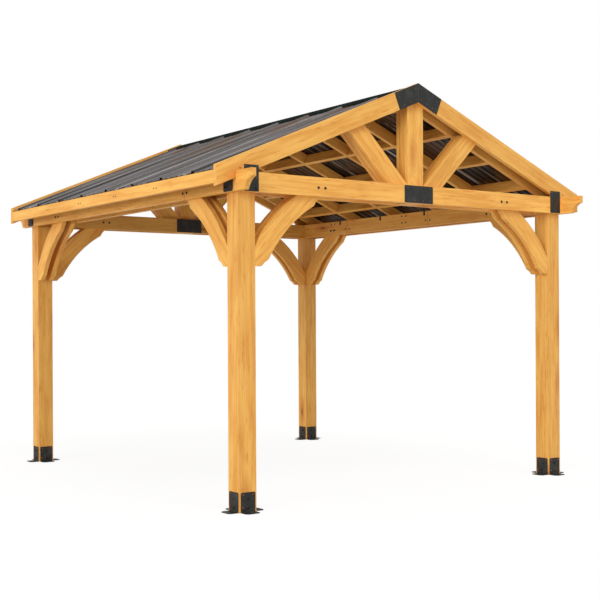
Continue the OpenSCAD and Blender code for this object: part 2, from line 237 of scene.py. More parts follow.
    ringed = sum_of(tree, "MULTIPLY", late, 0.17)
    with_streaks = sum_of(tree, "MULTIPLY_ADD", streaky, 0.4, ringed)
    fine = sum_of(tree, "MULTIPLY_ADD", fibre.outputs["Fac"], 0.3, -0.1)
    with_fibre = sum_of(tree, "ADD", with_streaks, fine)
    dark = sum_of(tree, "MULTIPLY_ADD", cloudy, 0.24, with_fibre, clamp=True)
    wood = blend_colour(tree, dark, start.outputs["Light Wood"], start.outputs["Dark Wood"])
    flecked = blend_colour(tree, dashes, wood, paint(214, 118, 30))
    halo = sum_of(tree, "MULTIPLY", knot_pull, 0.7)
    haloed = blend_colour(tree, halo, flecked, paint(204, 122, 48))
    knotted = blend_colour(tree, knot_heart, haloed, paint(140, 76, 34))
    tone = sum_of(tree, "MULTIPLY", between(tree, chance.outputs["Value"], 0.0, 1.0, 0.95, 1.05),
                  start.outputs["Tone"])
    toned = add(tree, "ShaderNodeVectorMath", {0: knotted, "Scale": tone}, operation="SCALE")
    tree.links.new(toned.outputs[0], end.inputs["Color"])

    grooves = sum_of(tree, "MULTIPLY_ADD", fibre.outputs["Fac"], 0.6, late)
    tree.links.new(grooves, end.inputs["Height"])
    rough = between(tree, dark, 0.0, 1.0, 0.46, 0.60)
    tree.links.new(rough, end.inputs["Roughness"])
    return tree


grain = make_grain()
print("grain group has", len(grain.nodes), "nodes")

# %% [markdown]
# ## Eased edges
# A planed board is never razor sharp: its edges are eased by a millimetre or two, they catch
# the light, and the stain sits thinner there. The frame's boards have sharp edges and may not
# be changed, so the Bevel node bends only the shading normals near an edge. How far the two
# normals disagree is also a mask of where the edge is.

# %% Edge group
def make_edges():
    tree, start, end = new_group(
        "Eased edge", [("Radius", "NodeSocketFloat", 0.004)],
        [("Mask", "NodeSocketFloat"), ("Normal", "NodeSocketVector")])
    bevel = add(tree, "ShaderNodeBevel", {"Radius": start.outputs["Radius"]}, samples=4)
    surface = add(tree, "ShaderNodeNewGeometry")
    match = add(tree, "ShaderNodeVectorMath",
                {0: bevel.outputs[0], 1: surface.outputs["True Normal"]},
                operation="DOT_PRODUCT")
    mask = between(tree, match.outputs["Value"], 0.99, 0.80, 0.0, 1.0)
    tree.links.new(mask, end.inputs["Mask"])
    tree.links.new(bevel.outputs[0], end.inputs["Normal"])
    return tree


edges = make_edges()
print("edge group has", len(edges.nodes), "nodes")

# %% [markdown]
# ## One stained board finish, turned to suit each board
# The stain is the same everywhere, and only the direction of the grain, the piece of tree and
# a darker tone on some boards differ. So one function lays the stain, and another makes a
# material from it: it is given the turn that lays the grain along the board, a seed, and a way
# to tell apart the boards that share a node. Long beams are made of two or three lengths that
# butt together, so a beam can also be given its joints, which show as fine dark lines. The
# same goes for the king posts and truss braces, which are three boards side by side.

# %% Stained timber
WOOD_LIGHT = paint(250, 194, 100)
WOOD_DARK = paint(214, 140, 54)
EDGE_WEAR_AND_HIGHLIGHT = paint(252, 204, 120)


def group_node(tree, group, inputs):
    made = add(tree, "ShaderNodeGroup", node_tree=group)
    for key, value in inputs.items():
        if isinstance(value, bpy.types.NodeSocket):
            tree.links.new(value, made.inputs[key])
        else:
            made.inputs[key].default_value = value
    return made


def new_material(name):
    made = bpy.data.materials.new(name)
    made.use_nodes = True
    return made, made.node_tree, made.node_tree.nodes["Principled BSDF"]


def turned(tree, place, turn):
    """Turns a place so that the grain direction becomes Z; the turn is in degrees."""
    made = add(tree, "ShaderNodeMapping",
               {"Vector": place, "Rotation": tuple(math.radians(angle) for angle in turn)})
    return made.outputs[0]


def board_number(tree, place, step, shift):
    """A number that is the same all over one board of a set and differs between boards."""
    shifted = add(tree, "ShaderNodeVectorMath", {0: place, 1: shift}, operation="ADD")
    cells = add(tree, "ShaderNodeVectorMath",
                {0: shifted.outputs[0], 1: tuple(1 / s for s in step)}, operation="MULTIPLY")
    whole = add(tree, "ShaderNodeVectorMath", {0: cells.outputs[0]}, operation="FLOOR")
    weigh = add(tree, "ShaderNodeVectorMath", {0: whole.outputs[0], 1: (3.1, 7.7, 1.3)},
                operation="DOT_PRODUCT")
    return weigh.outputs["Value"]


def butt_joints(tree, place, joints):
    """A mask of fine lines across the beam, and a number for each length between them."""
    along = add(tree, "ShaderNodeSeparateXYZ", {0: place}).outputs["Y"]
    lines, lengths = 0.0, 0.0
    for joint in joints:
        away = sum_of(tree, "SUBTRACT", along, joint)
        near = sum_of(tree, "LESS_THAN", sum_of(tree, "ABSOLUTE", away), 0.002)
        lines = sum_of(tree, "MAXIMUM", near, lines)
        lengths = sum_of(tree, "ADD", sum_of(tree, "GREATER_THAN", away, 0.0), lengths)
    return lines, lengths


def stain(tree, shader, space, number, knots, lines=None, tone=1.0):
    """Lays the stained grain on a shader, with eased edges painted lighter, part worn stain and part
    painted highlight, and any joint lines.
    """
    look = group_node(tree, grain, {"Board Space": space, "Seed": number,
                                    "Light Wood": WOOD_LIGHT, "Dark Wood": WOOD_DARK,
                                    "Knots": knots, "Tone": tone})
    eased = group_node(tree, edges, {"Radius": 0.004})
    # Edges are painted lighter: part thinner stain, part a painted highlight where the edge catches
    # light.
    lit = sum_of(tree, "MULTIPLY", eased.outputs["Mask"], 0.4)
    colour = blend_colour(tree, lit, look.outputs["Color"], EDGE_WEAR_AND_HIGHLIGHT)
    if lines is not None:
        faded = sum_of(tree, "MULTIPLY", lines, 0.7)
        colour = blend_colour(tree, faded, colour, paint(120, 66, 26))
    bump = add(tree, "ShaderNodeBump",
               {"Height": look.outputs["Height"], "Normal": eased.outputs["Normal"],
                "Strength": 0.25, "Distance": 0.0006})
    tree.links.new(colour, shader.inputs["Base Color"])
    tree.links.new(look.outputs["Roughness"], shader.inputs["Roughness"])
    tree.links.new(bump.outputs[0], shader.inputs["Normal"])
    shader.inputs["Specular IOR Level"].default_value = 0.3


def timber(name, turn, seed, sets=None, shift=(0.0, 0.0, 0.0), joints=(), knots=0.45,
           tone=1.0):
    """Stained timber whose grain runs along Z after the given turn in degrees."""
    made, tree, shader = new_material(name)
    place = add(tree, "ShaderNodeTexCoord").outputs["Object"]
    number, lines = seed, None
    if sets:
        number = sum_of(tree, "ADD", board_number(tree, place, sets, shift), seed)
    if joints:
        lines, lengths = butt_joints(tree, place, joints)
        number = sum_of(tree, "MULTIPLY_ADD", lengths, 4.3, seed)
    stain(tree, shader, turned(tree, place, turn), number, knots, lines, tone)
    return made


def wear(node, material):
    """Gives a frame piece its finish."""
    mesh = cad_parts[node].data
    if not mesh.materials:
        mesh.materials.append(material)
    for index in range(len(mesh.materials)):
        mesh.materials[index] = material


print("stain ready")

# %% [markdown]
# ## Timber on the straight boards
# Posts and king posts stand, chords run across, beams and eave boards run along the ridge,
# and the rakes and rafters lean with the roof.

# %% Straight boards
UPRIGHT, ALONG_X, ALONG_Y = (0, 0, 0), (0, 90, 0), (90, 0, 0)
ROOF_SLOPE = 22.5
OUTER_JOINTS, INNER_JOINTS = (-1.143,), (-0.345, 0.892)
LAYER_SEAMS = (-1.775, -1.723, 1.723, 1.775)
ends, sides = ("front", "back"), ("left", "right")
roof_turn = {"left": (0, 90 + ROOF_SLOPE, 0), "right": (0, 90 - ROOF_SLOPE, 0)}
seed = 1.0
for end in ends:
    for side in sides:
        near_post = (end, side) == ("front", "left")
        # All posts but the near front left one get a darker tone.
        wear(f"post_{end}_{side}",
             timber(f"Post timber {end} {side}", UPRIGHT, seed, tone=1.0 if near_post else 0.88))
        wear(f"rake_{end}_{side}",
             timber(f"Rake timber {end} {side}", roof_turn[side], seed + 0.3))
        seed += 1.0
    # The back chords get a darker tone, which is painted shade for where they stand under the roof.
    for piece in ("chord_outer", "chord_inner"):
        wear(f"{piece}_{end}", timber(f"{piece} timber {end}", ALONG_X, seed + 0.6,
                                      tone=1.0 if end == "front" else 0.86))
        seed += 1.0
    wear(f"king_post_{end}",
         timber(f"King post timber {end}", UPRIGHT, seed, joints=LAYER_SEAMS))
    seed += 1.0
for side in sides:
    for piece, joints in (("side_beam_outer", OUTER_JOINTS), ("side_beam_inner", INNER_JOINTS),
                          ("fascia", ())):
        wear(f"{piece}_{side}",
             timber(f"{piece} timber {side}", ALONG_Y, seed, joints=joints))
        seed += 1.0
    wear(f"rafters_{side}",
         timber(f"Rafter timber {side}", roof_turn[side], seed,
                sets=(50.0, 0.3, 50.0), shift=(25.0, 0.0, 25.0)))
    wear(f"blocking_{side}",
         timber(f"Blocking timber {side}", ALONG_Y, seed + 0.5, sets=(0.4, 0.66, 50.0),
                shift=(4.0, 0.33, 25.0)))
    seed += 1.0
wear("ridge_board", timber("Ridge board timber", ALONG_Y, seed))
print("timber finishes:", len(bpy.data.materials))

# %% [markdown]
# ## Boards that lean two ways in one node
# Each truss has a brace on either side, and each corner has knee braces along both beams.
# Their grain runs at 45 degrees, the way such pieces are sawn from a straight plank. The
# finish picks the turn from where the point is: left or right of the ridge, or in the plane
# of the gable or of the side.

# %% Leaning timber
def apart(tree, place):
    """Distances from the middle of the gazebo, across it and along it."""
    split = add(tree, "ShaderNodeSeparateXYZ", {0: place})
    return [sum_of(tree, "ABSOLUTE", split.outputs[axis]) for axis in ("X", "Y")]


def right_of_ridge(tree, place):
    split = add(tree, "ShaderNodeSeparateXYZ", {0: place})
    right = sum_of(tree, "GREATER_THAN", split.outputs["X"], 0.0)
    return right, right


def in_gable_plane(tree, place):
    """Which plane the brace is in, and a number for each of its two boards."""
    across, along = apart(tree, place)
    gable = sum_of(tree, "GREATER_THAN", along, KNEE_SPLIT)
    outer = sum_of(tree, "ADD", sum_of(tree, "GREATER_THAN", along, OUTER_KNEE_Y),
                   sum_of(tree, "GREATER_THAN", across, OUTER_KNEE_X))
    return gable, sum_of(tree, "MULTIPLY_ADD", gable, 2.3, outer)


def leaning_timber(name, seed, chooser, turn_low, turn_high, joints=()):
    """Timber with one turn where the chooser gives 0 and another where it gives 1."""
    made, tree, shader = new_material(name)
    place = add(tree, "ShaderNodeTexCoord").outputs["Object"]
    mask, number = chooser(tree, place)
    chosen = add(tree, "ShaderNodeMix", data_type="VECTOR")
    tree.links.new(mask, chosen.inputs[0])
    tree.links.new(turned(tree, place, turn_low), chosen.inputs[4])
    tree.links.new(turned(tree, place, turn_high), chosen.inputs[5])
    lines, layers = butt_joints(tree, place, joints)
    number = sum_of(tree, "ADD", sum_of(tree, "MULTIPLY_ADD", layers, 4.3, number), seed)
    stain(tree, shader, chosen.outputs[1], number, 0.15, lines if joints else None)
    return made


post_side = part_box("post_front_right")[1].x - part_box("post_front_right")[0].x
OUTER_KNEE_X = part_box("post_front_right")[1].x - post_side / 2 + 0.006
OUTER_KNEE_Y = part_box("post_back_left")[1].y - post_side / 2 + 0.006
KNEE_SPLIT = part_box("post_back_left")[1].y - post_side + 0.006
for end in ends:
    wear(f"truss_braces_{end}",
         leaning_timber(f"Truss brace timber {end}", seed, right_of_ridge,
                        (0, 45, 0), (0, -45, 0), LAYER_SEAMS))
    seed += 1.0
    for side in sides:
        over = 45 if side == "right" else -45
        back = -45 if end == "back" else 45
        wear(f"knee_braces_{end}_{side}",
             leaning_timber(f"Knee brace timber {end} {side}", seed, in_gable_plane,
                            (back, 0, 0), (0, over, 0)))
        seed += 1.0
print("leaning finishes made, materials now", len(bpy.data.materials))

# %% [markdown]
# ## Black steel
# The plates are powder coated: a matt, faintly pebbled black that rubs to grey along its
# edges and holds a little dust. Noise gives the pebble, the edge group gives the rub.

# %% Powder coat
def make_coat():
    tree, start, end = new_group(
        "Powder coat",
        [("Place", "NodeSocketVector", None), ("Coat", "NodeSocketColor", paint(58, 58, 57)),
         ("Rub", "NodeSocketFloat", 0.4)],
        [("Color", "NodeSocketColor"), ("Height", "NodeSocketFloat"),
         ("Roughness", "NodeSocketFloat"), ("Normal", "NodeSocketVector")])
    place = start.outputs["Place"]
    pebble = add(tree, "ShaderNodeTexNoise", {"Vector": place, "Scale": 900.0, "Detail": 2.0})
    cloud = add(tree, "ShaderNodeTexNoise", {"Vector": place, "Scale": 14.0, "Detail": 4.0})
    eased = group_node(tree, edges, {"Radius": 0.003})
    dust = between(tree, cloud.outputs["Fac"], 0.45, 0.75, 0.0, 0.28)
    dusty = blend_colour(tree, dust, start.outputs["Coat"], paint(92, 90, 86))
    rubbed = sum_of(tree, "MULTIPLY", eased.outputs["Mask"], start.outputs["Rub"])
    patchy = sum_of(tree, "MULTIPLY", rubbed, cloud.outputs["Fac"])
    worn = blend_colour(tree, patchy, dusty, paint(120, 118, 112))
    tree.links.new(worn, end.inputs["Color"])
    tree.links.new(pebble.outputs["Fac"], end.inputs["Height"])
    tree.links.new(between(tree, cloud.outputs["Fac"], 0.3, 0.7, 0.42, 0.62),
                   end.inputs["Roughness"])
    tree.links.new(eased.outputs["Normal"], end.inputs["Normal"])
    return tree


coat = make_coat()


def black_steel(name, colour, rub=0.4, crease=False):
    """Coated steel; a crease is a fine lighter line in the middle where a plate was folded, a painted
    highlight.
    """
    made, tree, shader = new_material(name)
    where = add(tree, "ShaderNodeTexCoord")
    look = group_node(tree, coat, {"Place": where.outputs["Object"], "Coat": colour,
                                   "Rub": rub})
    bump = add(tree, "ShaderNodeBump",
               {"Height": look.outputs["Height"], "Normal": look.outputs["Normal"],
                "Strength": 0.15, "Distance": 0.0003})
    colour = look.outputs["Color"]
    if crease:
        # The crease is drawn as a lighter line: a painted highlight on the fold.
        split = add(tree, "ShaderNodeSeparateXYZ", {0: where.outputs["Object"]})
        away = sum_of(tree, "ABSOLUTE", split.outputs["X"])
        line = sum_of(tree, "MULTIPLY", between(tree, away, 0.001, 0.004, 0.2, 0.0),
                      sum_of(tree, "GREATER_THAN", split.outputs["Z"], 2.6))
        colour = blend_colour(tree, line, colour, paint(110, 110, 108))
    tree.links.new(colour, shader.inputs["Base Color"])
    tree.links.new(look.outputs["Roughness"], shader.inputs["Roughness"])
    tree.links.new(bump.outputs[0], shader.inputs["Normal"])
    shader.inputs["Specular IOR Level"].default_value = 0.4
    return made


steel = black_steel("Black steel", paint(36, 38, 37))
bolt_steel = black_steel("Black bolt steel", paint(3, 3, 3), 0.5)
folded_steel = black_steel("Folded black steel", paint(36, 38, 37), crease=True)
plate_screw = black_steel("Plate screw steel", paint(92, 76, 62), 0.3)
screw_steel = black_steel("Brown screw steel", paint(150, 76, 36), 0.2)
steel_nodes = [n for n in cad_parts
               if n.startswith(("brackets_", "gable_plates_", "side_plates_", "rafter_ties_"))]
for name in steel_nodes:
    wear(name, folded_steel if name.startswith("gable_plates_") else steel)
print("black steel on", len(steel_nodes), "nodes")

# %% [markdown]
# ## Roof metal
# The sheets are coated steel. From outside they are a dark weathered grey, with pale and
# dark lines down the slope and a brown cast towards the ridge. From below they are shiny and
# painted nearly black as painted shade, with long painted glints and brown painted reflections.
# The lines are noise stretched along the fall of the roof, at two widths, and painted shade lies
# beside each bead.

# %% Coated sheet
SHEET, BEADS = 0.002, 5
FIRST_RIB, LAST_RIB = 0.276, 0.161
RIB, BEAD = (0.056, 0.022, 0.019), (0.022, 0.012, 0.006)
sheet_low, sheet_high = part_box("roof_sheet_left")[0].y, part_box("roof_sheet_left")[1].y
bead_pitch = (sheet_high - sheet_low - FIRST_RIB - LAST_RIB) / (7 * (BEADS + 1))


def roof_metal(name, dark, tone, pale, brown, bead_shade=0.85, shine=0.5, metal=0.35):
    made, tree, shader = new_material(name)
    where = add(tree, "ShaderNodeTexCoord").outputs["Object"]
    split = add(tree, "ShaderNodeSeparateXYZ", {0: where})

    def lines(width, detail):
        run = add(tree, "ShaderNodeVectorMath",
                  {0: where, 1: (0.35, 1 / width, 0.0)}, operation="MULTIPLY")
        return add(tree, "ShaderNodeTexNoise",
                   {"Vector": run.outputs[0], "Scale": 1.0, "Detail": detail,
                    "Roughness": 0.7}).outputs["Fac"]

    broad, fine = lines(0.05, 2.0), lines(0.02, 1.0)
    lit = blend_colour(tree, between(tree, broad, 0.52, 0.66), tone, pale)
    lined = blend_colour(tree, between(tree, fine, 0.5, 0.36), lit, dark)
    waves = sum_of(tree, "DIVIDE", sum_of(tree, "SUBTRACT", split.outputs["Y"],
                                          sheet_low + FIRST_RIB), bead_pitch)
    off_bead = sum_of(tree, "ABSOLUTE", sum_of(tree, "SUBTRACT", sum_of(tree, "FRACT", waves),
                                               0.3))
    # Painted shade: a dark band beside each bead, where the ribs shade the sheet.
    painted_bead_shade = sum_of(tree, "MULTIPLY", between(tree, off_bead, 0.09, 0.22, bead_shade, 0.0),
                   between(tree, fine, 0.35, 0.6, 0.7, 1.0))
    lined = blend_colour(tree, painted_bead_shade, lined, paint(26, 24, 24))
    cloud = add(tree, "ShaderNodeTexNoise", {"Vector": where, "Scale": 2.4, "Detail": 4.0})
    high = between(tree, split.outputs["Z"], 2.5, 2.95)
    patchy = sum_of(tree, "MULTIPLY", between(tree, cloud.outputs["Fac"], 0.42, 0.62), high)
    browned = blend_colour(tree, patchy, lined, brown)
    sides_of = add(tree, "ShaderNodeNewGeometry")
    facing = add(tree, "ShaderNodeSeparateXYZ", {0: sides_of.outputs["True Normal"]})
    below = sum_of(tree, "LESS_THAN", facing.outputs["Z"], 0.0)
    # Below, the sheet is painted near black as painted shade, with painted glints along the broad
    # streaks and patches of brown painted reflection.
    painted_glint = blend_colour(tree, between(tree, broad, 0.56, 0.66), paint(18, 16, 15),
                         paint(168, 160, 150))
    painted_reflection = blend_colour(tree, between(tree, cloud.outputs["Fac"], 0.48, 0.56), painted_glint,
                          paint(74, 50, 28))
    shaded = blend_colour(tree, below, browned, painted_reflection)
    small = add(tree, "ShaderNodeTexNoise", {"Vector": where, "Scale": 60.0, "Detail": 2.0})
    bump = add(tree, "ShaderNodeBump",
               {"Height": small.outputs["Fac"], "Strength": 0.2, "Distance": 0.0008})
    tree.links.new(shaded, shader.inputs["Base Color"])
    tree.links.new(between(tree, broad, 0.3, 0.7, 0.22, 0.42), shader.inputs["Roughness"])
    tree.links.new(between(tree, below, 0.0, 1.0, shine, 0.12),
                   shader.inputs["Specular IOR Level"])
    tree.links.new(bump.outputs[0], shader.inputs["Normal"])
    tree.links.new(between(tree, below, 0.0, 1.0, metal, 0.0), shader.inputs["Metallic"])
    return made


sheet_finish = roof_metal("Roof sheet metal", paint(52, 50, 52), paint(108, 105, 105),
                          paint(176, 172, 170), paint(100, 80, 66))
cap_finish = roof_metal("Ridge cap metal", paint(26, 32, 30), paint(36, 42, 40),
                        paint(54, 60, 58), paint(38, 40, 36), bead_shade=0.0, shine=0.0,
                        metal=0.0)
wear("ridge_cap", cap_finish)
print("roof metal done")

# %% [markdown]
# ## Rolled sheets
# A roofing sheet is a flat strip run through pairs of rollers, which fold the same section
# all along it: a few high ribs with small stiffening beads between them. So it is made the
# same way here, as one section that is drawn across the roof and run straight down the slope.
# It takes the place of the frame's sheet, on the same rafters and under the same cap.

# %% Section across the roof
def sheet_section():
    """Points (y, height) of the upper side of the sheet from the front end to the back."""
    section = [(sheet_low, 0.0)]
    for number in range(-3, 7 * (BEADS + 1) + 2):
        y = sheet_low + FIRST_RIB + number * bead_pitch
        foot, top, height = RIB if number % (BEADS + 1) == 0 else BEAD
        section += [(y - foot / 2, 0.0), (y - top / 2, height),
                    (y + top / 2, height), (y + foot / 2, 0.0)]
    return section + [(sheet_high, 0.0)]


section = sheet_section()
print("sheet section", len(section), "points, beads every", round(bead_pitch, 4), "m")


# %% Running the section down each slope
def rolled_sheet(side):
    sign = 1 if side == "right" else -1
    lean = math.radians(ROOF_SLOPE)
    out = Vector((sign * math.sin(lean), 0, math.cos(lean)))
    down = Vector((sign * math.cos(lean), 0, -math.sin(lean)))
    top = Vector((0, 0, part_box("rafters_right")[1].z + math.tan(lean) * 0.019))
    lower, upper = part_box(f"roof_sheet_{side}")
    length = (max(abs(lower.x), abs(upper.x)) - 0.021 * math.sin(lean)) / math.cos(lean)
    points = []
    for run in (0.012, length):
        for lift in (0.0, SHEET):
            points += [top + down * run + out * (height + lift) + Vector((0, y, 0))
                       for y, height in section]
    count = len(section)
    high_low, high_up, low_low, low_up = (range(n * count, (n + 1) * count) for n in range(4))

    def strip(first, second):
        return [(first[i], first[i + 1], second[i + 1], second[i]) for i in range(count - 1)]

    faces = strip(high_low, low_low) + strip(low_up, high_up)
    faces += strip(high_up, high_low) + strip(low_low, low_up)
    faces += [(high_low[0], low_low[0], low_up[0], high_up[0]),
              (high_low[-1], high_up[-1], low_up[-1], low_low[-1])]
    if side == "left":
        faces = [tuple(reversed(face)) for face in faces]
    mesh = bpy.data.meshes.new(f"rolled_sheet_{side}")
    mesh.from_pydata(points, [], faces)
    mesh.materials.append(sheet_finish)
    piece = bpy.data.objects.new(mesh.name, mesh)
    bpy.context.scene.collection.objects.link(piece)
    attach(piece, "root")
    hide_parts(f"roof_sheet_{side}")
    surface = sum(face.area for face in mesh.polygons)
    print(piece.name, len(faces), "faces,", round(surface, 1), "square metres of surface")


for side in sides:
    rolled_sheet(side)

# %% [markdown]
# ## Bolts and screws
# Every joint is held by dome-headed bolts and small screws. They repeat, so one Geometry
# Nodes tree makes them all: it takes a mesh whose points mark the places, reads which way
# each one faces from an attribute, puts a domed head with its washer there, and turns the
# copies into real mesh. Its inputs set the head's size and how finely it is divided.

# %% Fastener tree
WASHER = 0.0015


def make_fastener_tree():
    tree, start, end = new_group(
        "Domed fastener",
        [("Geometry", "NodeSocketGeometry", None), ("Head Radius", "NodeSocketFloat", 0.01),
         ("Head Height", "NodeSocketFloat", 0.005), ("Washer Radius", "NodeSocketFloat", 0.013),
         ("Washer Height", "NodeSocketFloat", WASHER), ("Sides", "NodeSocketInt", 10),
         ("Finish", "NodeSocketMaterial", None)],
        [("Geometry", "NodeSocketGeometry")], "GeometryNodeTree")
    ball = add(tree, "GeometryNodeMeshUVSphere",
               {"Segments": start.outputs["Sides"], "Rings": 6, "Radius": 1.0})
    shape = add(tree, "ShaderNodeCombineXYZ",
                {0: start.outputs["Head Radius"], 1: start.outputs["Head Radius"],
                 2: start.outputs["Head Height"]})
    lift = add(tree, "ShaderNodeCombineXYZ", {2: start.outputs["Washer Height"]})
    dome = add(tree, "GeometryNodeTransform",
               {"Geometry": ball.outputs["Mesh"], "Scale": shape.outputs[0],
                "Translation": lift.outputs[0]})
    disc = add(tree, "GeometryNodeMeshCylinder",
               {"Vertices": start.outputs["Sides"], "Radius": start.outputs["Washer Radius"],
                "Depth": start.outputs["Washer Height"]})
    half = add(tree, "ShaderNodeMath", {0: start.outputs["Washer Height"], 1: 0.5},
               operation="MULTIPLY")
    seat = add(tree, "ShaderNodeCombineXYZ", {2: half.outputs[0]})
    washer = add(tree, "GeometryNodeTransform",
                 {"Geometry": disc.outputs["Mesh"], "Translation": seat.outputs[0]})
    whole = add(tree, "GeometryNodeJoinGeometry")
    tree.links.new(dome.outputs[0], whole.inputs[0])
    tree.links.new(washer.outputs[0], whole.inputs[0])
    facing = add(tree, "GeometryNodeInputNamedAttribute", {"Name": "facing"},
                 data_type="FLOAT_VECTOR")
    turn = add(tree, "FunctionNodeAlignRotationToVector",
               {"Vector": facing.outputs["Attribute"]}, axis="Z")
    spots = add(tree, "GeometryNodeInstanceOnPoints",
                {"Points": start.outputs["Geometry"], "Instance": whole.outputs[0],
                 "Rotation": turn.outputs[0]})
    real = add(tree, "GeometryNodeRealizeInstances", {"Geometry": spots.outputs[0]})
    smooth = add(tree, "GeometryNodeSetShadeSmooth", {"Geometry": real.outputs[0]})
    coloured = add(tree, "GeometryNodeSetMaterial",
                   {"Geometry": smooth.outputs[0], "Material": start.outputs["Finish"]})
    tree.links.new(coloured.outputs[0], end.inputs["Geometry"])
    return tree


fastener_tree = make_fastener_tree()
print("fastener tree has", len(fastener_tree.nodes), "nodes")


# %% Running the tree
def run_tree(points, tree, values):
    """Runs a tree on an object with a modifier and returns the result as a plain mesh."""
    modifier = points.modifiers.new("make", "NODES")
    modifier.node_group = tree
    for item in tree.interface.items_tree:
        if item.item_type == "SOCKET" and item.in_out == "INPUT" and item.name in values:
            modifier[item.identifier] = values[item.name]
    depsgraph = bpy.context.evaluated_depsgraph_get()
    mesh = bpy.data.meshes.new_from_object(points.evaluated_get(depsgraph))
    points.modifiers.remove(modifier)
    return mesh


def fasteners(name, spots, head, height, washer, finish, sides=10):
    """Domed heads at spots, a list of (place, facing) in metres."""
    marks = bpy.data.meshes.new(name + "_marks")
    marks.from_pydata([place for place, _ in spots], [], [])
    facing = marks.attributes.new("facing", "FLOAT_VECTOR", "POINT")
    for index, (_, direction) in enumerate(spots):
        facing.data[index].vector = direction
    piece = bpy.data.objects.new(name, marks)
    bpy.context.scene.collection.objects.link(piece)
    piece.data = run_tree(piece, fastener_tree, {
        "Head Radius": head, "Head Height": height, "Washer Radius": washer,
        "Washer Height": WASHER, "Sides": sides, "Finish": finish})
    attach(piece, "root")
    print(name, len(spots), "heads,", len(piece.data.polygons), "faces")
    return piece


# %% [markdown]
# ## Where the fasteners go
# The places come from the frame's own boxes wherever they can, so a bolt always sits on the
# plate that it holds. Each post bracket has two bolts up its middle and a brown screw near
# three corners.

# %% Sizes read from the frame
BOARD, PLATE = 0.038, 0.003
SCREW_INSET = 0.022
half_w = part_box("chord_outer_front")[1].x
half_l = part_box("side_beam_inner_right")[1].y
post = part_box("post_front_left")[1].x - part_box("post_front_left")[0].x
beam_low, beam_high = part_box("chord_outer_front")[0].z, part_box("chord_outer_front")[1].z
inner_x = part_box("side_beam_inner_right")[0].x
inner_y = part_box("chord_inner_back")[0].y
foot_bolts, bolts, screws = [], [], []
print("posts", round(post, 3), "beams from", round(beam_low, 3), "to", round(beam_high, 3))

# %% Post brackets
for sx in (-1, 1):
    for sy in (-1, 1):
        middle = Vector((sx * (half_w - post / 2), sy * (half_l - post / 2), 0))
        for turn in range(4):
            out = Vector((round(math.cos(turn * math.pi / 2)),
                          round(math.sin(turn * math.pi / 2)), 0))
            across = Vector((-out.y, out.x, 0))
            face = middle + out * (post / 2 + PLATE)
            for z in (0.036, 0.1):
                foot_bolts.append((face + Vector((0, 0, z)), out))
            for step, z in ((-0.039, 0.124), (0.039, 0.124), (-0.043, 0.036)):
                screws.append((face + across * step + Vector((0, 0, z)), out))
print("bracket bolts", len(foot_bolts), "screws", len(screws))

# %% [markdown]
# The beams are bolted through where a knee brace comes up between their two boards, so the
# bolts show in pairs on both faces. The plates on the gable have screws round their edges,
# the corner ones with domed bolts at the bottom, and each side plate has one domed bolt.

# %% Beams and their plates
plate_screws, beam_screws, domes = [], [], []
for sy in (-1, 1):
    for face, out in ((sy * (half_l + BOARD), sy), (sy * inner_y, -sy)):
        for sx in (-1, 1):
            for x in (0.896, 0.957):
                bolts.append((Vector((sx * x, face, 2.275)), Vector((0, out, 0))))
    out = Vector((0, sy, 0))
    face = sy * (half_l + BOARD + PLATE)
    for sx in (-1, 1):
        for x, z in ((1.578, 2.384), (1.535, 2.384), (1.492, 2.384), (1.492, 2.31)):
            plate_screws.append((Vector((sx * x, face, z)), out))
        domes.append((Vector((sx * 1.494, face, 2.234)), out))
        domes.append((Vector((sx * 1.576, face, 2.234)), out))
    for x in (-1.625, 1.625):
        screws.append((Vector((x, sy * (half_l + BOARD), 2.37)), out))
    for x, z in ((-0.112, beam_high - SCREW_INSET), (0.112, beam_high - SCREW_INSET),
                 (-0.112, beam_low + SCREW_INSET), (-0.04, beam_low + SCREW_INSET),
                 (0.04, beam_low + SCREW_INSET), (0.112, beam_low + SCREW_INSET)):
        plate_screws.append((Vector((x, face, z)), out))
        plate_screws.append((Vector((x, sy * (inner_y - PLATE), z)), -out))
for sx in (-1, 1):
    for face, out in ((sx * (half_w + BOARD), sx), (sx * inner_x, -sx)):
        for sy in (-1, 1):
            for y in (1.122, 1.178):
                bolts.append((Vector((face, sy * y, 2.258)), Vector((out, 0, 0))))
    for sy in (-1, 1):
        side_face = sx * (half_w + BOARD + PLATE)
        domes.append((Vector((side_face, sy * 1.712, 2.244)), Vector((sx, 0, 0))))
        screws.append((Vector((side_face, sy * 1.782, 2.246)), Vector((sx, 0, 0))))
    for y, count in ((1.135, 4), (0.0, 4), (0.892, 2), (-0.345, 2)):
        for number in range(count):
            place = Vector((sx * inner_x, y + (0.03 if number % 2 else -0.03),
                            2.262 if number < 2 else 2.325))
            beam_screws.append((place, Vector((-sx, 0, 0))))
print("beam bolts so far", len(bolts), "plate screws", len(plate_screws))

# %% Peak plates, measured along and down from the peak
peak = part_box("gable_plates_front")[1].z
lean = math.radians(ROOF_SLOPE)
for sy in (-1, 1):
    for sx in (-1, 1):
        for along, down in ((0.225, 0.045), (0.2, 0.112), (0.07, 0.108), (0.135, 0.11),
                            (0.045, 0.03)):
            x = along * math.cos(lean) - down * math.sin(lean)
            z = peak - along * math.sin(lean) - down * math.cos(lean)
            face = sy * (half_l + BOARD + PLATE)
            plate_screws.append((Vector((sx * x, face, z)), Vector((0, sy, 0))))
print("peak plates done, top at", round(peak, 3))

# %% [markdown]
# The eave boards are nailed at each rafter, and the roof sheets are screwed down in rows
# over the rafters' blocking. The roof screws are many and small, so they get few sides.

